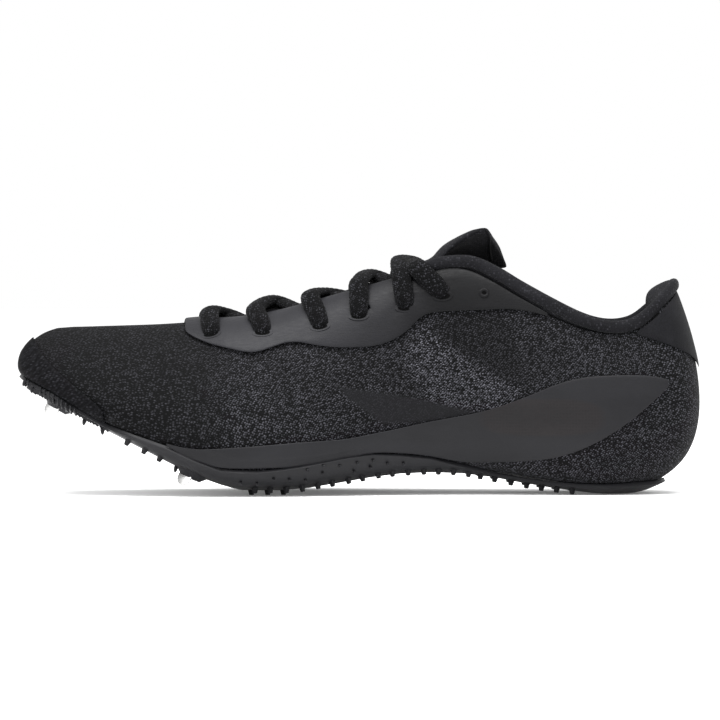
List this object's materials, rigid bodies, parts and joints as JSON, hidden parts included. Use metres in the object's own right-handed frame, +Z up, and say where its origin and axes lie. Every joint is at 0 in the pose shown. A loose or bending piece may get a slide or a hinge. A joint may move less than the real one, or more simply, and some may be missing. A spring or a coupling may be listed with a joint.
{
  "type": "track spike shoe",
  "caption": "Black lace-up sprint spike for the right foot: knit upper with a padded collar and tongue on a stiff studded plate with steel spikes under the ball and toe.",
  "frame": {"origin": "middle of the shoe's bounding box, on the floor it stands on", "axes": "+X from toe to heel, +Y towards the outer side of the foot, +Z up"},
  "size_m": [0.2841, 0.0916, 0.1112],
  "materials": {
    "black_knit": "tight engineered knit with small bright stitches",
    "black_plate": "moulded satin plastic",
    "smooth_film": "thin fused film, satin",
    "heel_film": "thin fused film, soft matt",
    "soft_lining": "brushed lining over thin foam",
    "woven_lace": "coarse woven cord",
    "spike_steel": "bright turned steel"
  },
  "bodies": {
    "root": {"upper": "black_knit", "sole_plate": "black_plate", "insole": "soft_lining", "toe_film": "smooth_film", "eyestay": "smooth_film", "wing_inner": "smooth_film", "wing_outer": "smooth_film", "heel_patch": "heel_film", "collar": "soft_lining", "tongue": "soft_lining", "lace_1": "woven_lace", "lace_2": "woven_lace", "lace_3": "woven_lace", "lace_4": "woven_lace", "lace_5": "woven_lace", "spike_1": "spike_steel", "spike_2": "spike_steel", "spike_3": "spike_steel", "spike_4": "spike_steel"}
  },
  "joints": []
}
